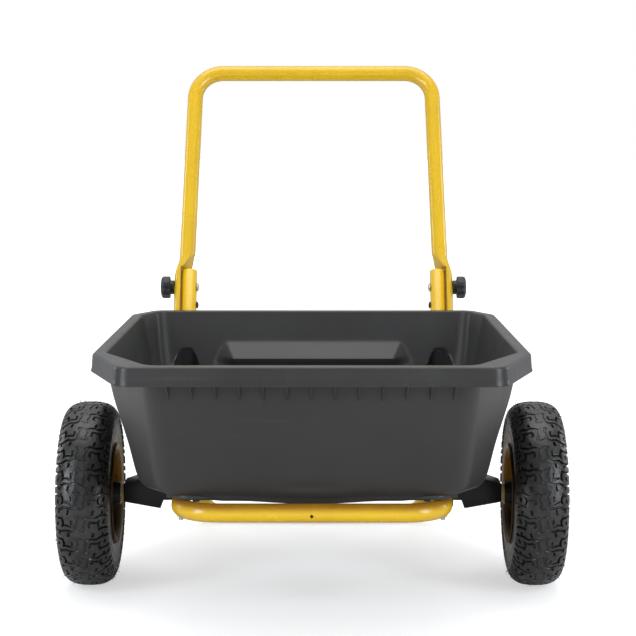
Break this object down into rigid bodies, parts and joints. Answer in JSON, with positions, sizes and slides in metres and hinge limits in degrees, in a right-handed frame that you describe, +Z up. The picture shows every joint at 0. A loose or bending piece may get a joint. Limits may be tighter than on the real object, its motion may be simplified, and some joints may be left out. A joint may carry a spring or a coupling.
{
  "type": "yard cart",
  "caption": "Yard cart with a moulded tray on a bent tube frame, a folding loop handle clamped by knobs, pneumatic tyres and a rear stand.",
  "frame": {"origin": "on the ground under the middle of the cart's bounding box", "axes": "+Z up, +Y towards the handle (the cart's back), +X across the cart along the wheel axle"},
  "size_m": [0.894, 1.0726, 0.9427],
  "materials": {
    "yellow_paint": "glossy yellow powder coat on steel",
    "tray_poly": "charcoal moulded polyethylene, semi-gloss",
    "black_paint": "satin black paint on steel",
    "zinc": "zinc-plated steel",
    "bearing_steel": "ground steel",
    "tyre_rubber": "knobby tyre rubber",
    "tube_rubber": "soft black rubber",
    "knob_plastic": "black moulded plastic"
  },
  "bodies": {
    "chassis": {"tray": "tray_poly", "main_frame": "yellow_paint", "rear_stand": "yellow_paint", "stand_brace_left": "yellow_paint", "stand_brace_right": "yellow_paint", "axle": "zinc", "axle_bracket_left": "black_paint", "axle_bracket_right": "black_paint", "inner_washer_left": "zinc", "inner_washer_right": "zinc", "outer_washer_left": "zinc", "outer_washer_right": "zinc", "cotter_pin_left": "zinc", "cotter_pin_right": "zinc", "handle_bolt_left": "zinc", "handle_bolt_right": "zinc", "hole_plug_left": "knob_plastic", "hole_plug_right": "knob_plastic", "tray_bolt_front_left": "zinc", "tray_bolt_front_right": "zinc", "tray_bolt_rear_left": "zinc", "tray_bolt_rear_right": "zinc", "bracket_bolt_front_left": "zinc", "bracket_bolt_front_right": "zinc", "bracket_bolt_rear_left": "zinc", "bracket_bolt_rear_right": "zinc", "stand_bolt_left": "zinc", "stand_bolt_right": "zinc", "brace_bolt_low_left": "zinc", "brace_bolt_low_right": "zinc", "brace_bolt_top_left": "zinc", "brace_bolt_top_right": "zinc", "rest_pad_left": "tube_rubber", "rest_pad_right": "tube_rubber"},
    "wheel_left": {"tyre_left": "tyre_rubber", "inner_tube_left": "tube_rubber", "rim_outer_left": "yellow_paint", "rim_inner_left": "yellow_paint", "hub_left": "black_paint", "bearing_inner_left": "bearing_steel", "bearing_outer_left": "bearing_steel"},
    "wheel_right": {"tyre_right": "tyre_rubber", "inner_tube_right": "tube_rubber", "rim_outer_right": "yellow_paint", "rim_inner_right": "yellow_paint", "hub_right": "black_paint", "bearing_inner_right": "bearing_steel", "bearing_outer_right": "bearing_steel"},
    "handle": {"handle": "yellow_paint"},
    "knob_left": {"knob_left": "knob_plastic", "knob_insert_left": "zinc"},
    "knob_right": {"knob_right": "knob_plastic", "knob_insert_right": "zinc"}
  },
  "joints": [
    {"name": "wheel_left_spin", "type": "hinge", "parent": "chassis", "child": "wheel_left", "pos_m": [-0.399, -0.11625, 0.165], "axis": [1, 0, 0], "continuous": true},
    {"name": "wheel_right_spin", "type": "hinge", "parent": "chassis", "child": "wheel_right", "pos_m": [0.399, -0.11625, 0.165], "axis": [1, 0, 0], "continuous": true},
    {"name": "handle_fold", "type": "hinge", "parent": "chassis", "child": "handle", "pos_m": [0, 0.32042, 0.49412], "axis": [1, 0, 0], "range_deg": [0, 130]},
    {"name": "knob_left_turn", "type": "hinge", "parent": "chassis", "child": "knob_left", "pos_m": [-0.2955, 0.32042, 0.49412], "axis": [1, 0, 0], "continuous": true},
    {"name": "knob_right_turn", "type": "hinge", "parent": "chassis", "child": "knob_right", "pos_m": [0.2955, 0.32042, 0.49412], "axis": [1, 0, 0], "continuous": true}
  ]
}
